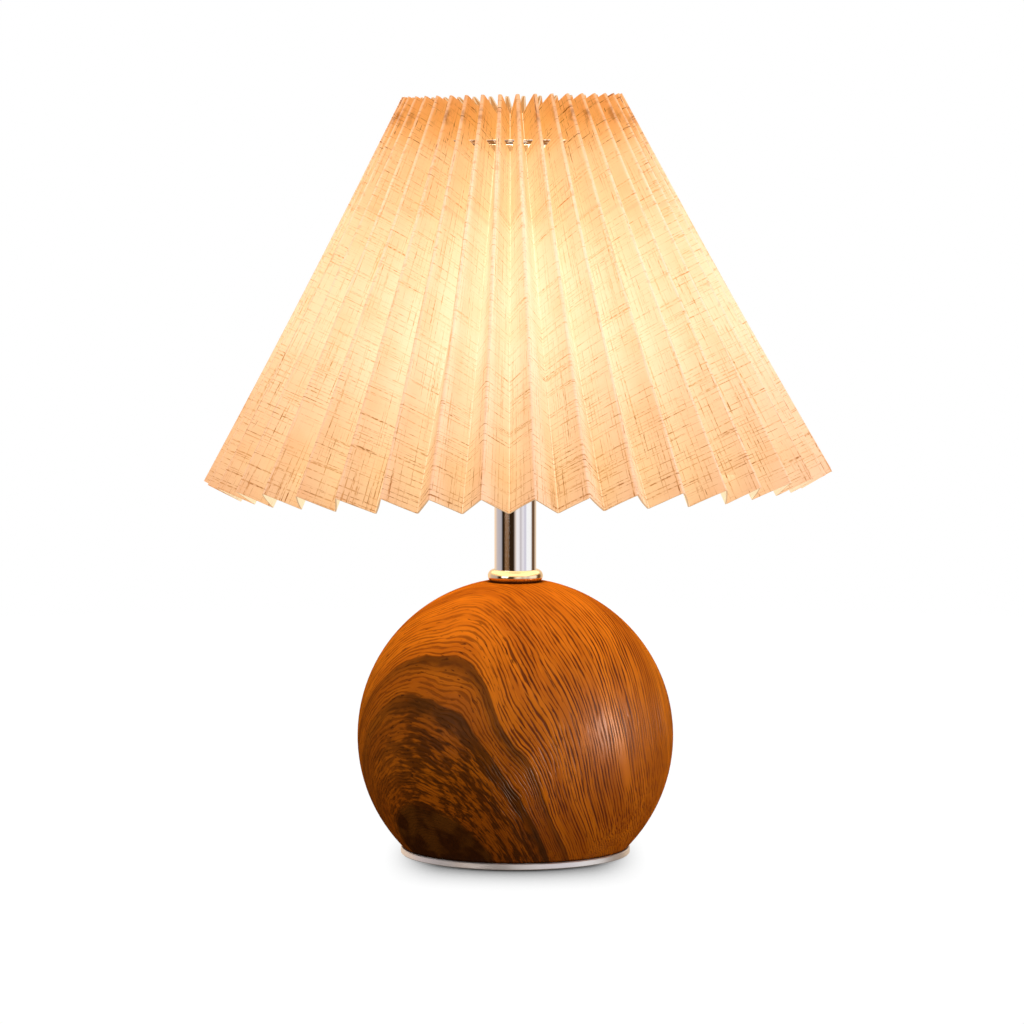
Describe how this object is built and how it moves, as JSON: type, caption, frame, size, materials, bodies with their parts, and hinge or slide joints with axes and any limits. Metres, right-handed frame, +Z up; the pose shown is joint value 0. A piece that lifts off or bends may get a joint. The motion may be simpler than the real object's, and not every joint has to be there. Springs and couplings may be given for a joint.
{
  "type": "table lamp",
  "caption": "Table lamp with a turned wooden ball foot, a short plated stem with a bead collar, and a pleated cone shade hung by its punched folds on a wire carrier around a screw-in bulb.",
  "frame": {"origin": "centre of the foot pad's lower face, on the floor", "axes": "+Z up along the stem, -Y to the front, +X to the right as seen from the front; the cable's inlet is at +Y"},
  "size_m": [0.2994, 0.2994, 0.3632],
  "materials": {
    "felt": "dense dark felt",
    "foot_metal": "turned and brushed",
    "steel": "zinc plated",
    "wood": "satin lacquered",
    "iron": "rough cast",
    "black_plastic": "moulded",
    "brass": "polished",
    "chrome": "polished plate",
    "white_plastic": "moulded",
    "porcelain": "glazed",
    "contact_brass": "stamped",
    "carrier_steel": "plated wire",
    "linen": "slubbed linen on a translucent lining",
    "solder": "dull",
    "black_glass": "moulded",
    "bulb_metal": "rolled thread",
    "bulb_glass": "clear",
    "filament": "phosphor coated"
  },
  "bodies": {
    "base": {"foot_pad": "felt", "foot_plate": "foot_metal", "foot_screws": "steel", "base_ball": "wood", "ballast_weight": "iron", "cable_grommet": "black_plastic", "bottom_nut": "steel", "bottom_washer": "steel", "threaded_rod": "steel", "neck_collar": "brass", "stem_tube": "chrome", "stem_cap": "steel", "holder_cap": "white_plastic", "holder_grub_screw": "steel", "holder_insert": "porcelain", "terminal_screws": "steel", "centre_contact": "contact_brass", "screw_shell": "contact_brass", "holder_shell": "white_plastic", "lower_shade_ring": "white_plastic", "upper_shade_ring": "white_plastic"},
    "shade": {"carrier_hub": "carrier_steel", "carrier_legs": "carrier_steel", "carrier_ring": "carrier_steel", "pleated_shade": "linen"},
    "bulb_tip": {"bulb_contact": "solder"},
    "bulb": {"bulb_insulator": "black_glass", "bulb_cap": "bulb_metal", "bulb_globe": "bulb_glass", "bulb_stem": "bulb_glass", "bulb_supports": "steel", "bulb_filaments": "filament"}
  },
  "joints": [
    {"name": "shade_turn", "type": "hinge", "parent": "base", "child": "shade", "pos_m": [0, 0, 0.2165], "axis": [0, 0, 1], "continuous": true},
    {"name": "bulb_rise", "type": "slide", "parent": "base", "child": "bulb_tip", "axis": [0, 0, 1], "range_m": [0, 0.02359]},
    {"name": "bulb_turn", "type": "hinge", "parent": "bulb_tip", "child": "bulb", "pos_m": [0, 0, 0.2215], "axis": [0, 0, 1], "range_deg": [0, 2340]}
  ],
  "couplings": [
    {"joint": "bulb_rise", "follows": "bulb_turn", "m_per_rad": 0.00057757}
  ]
}
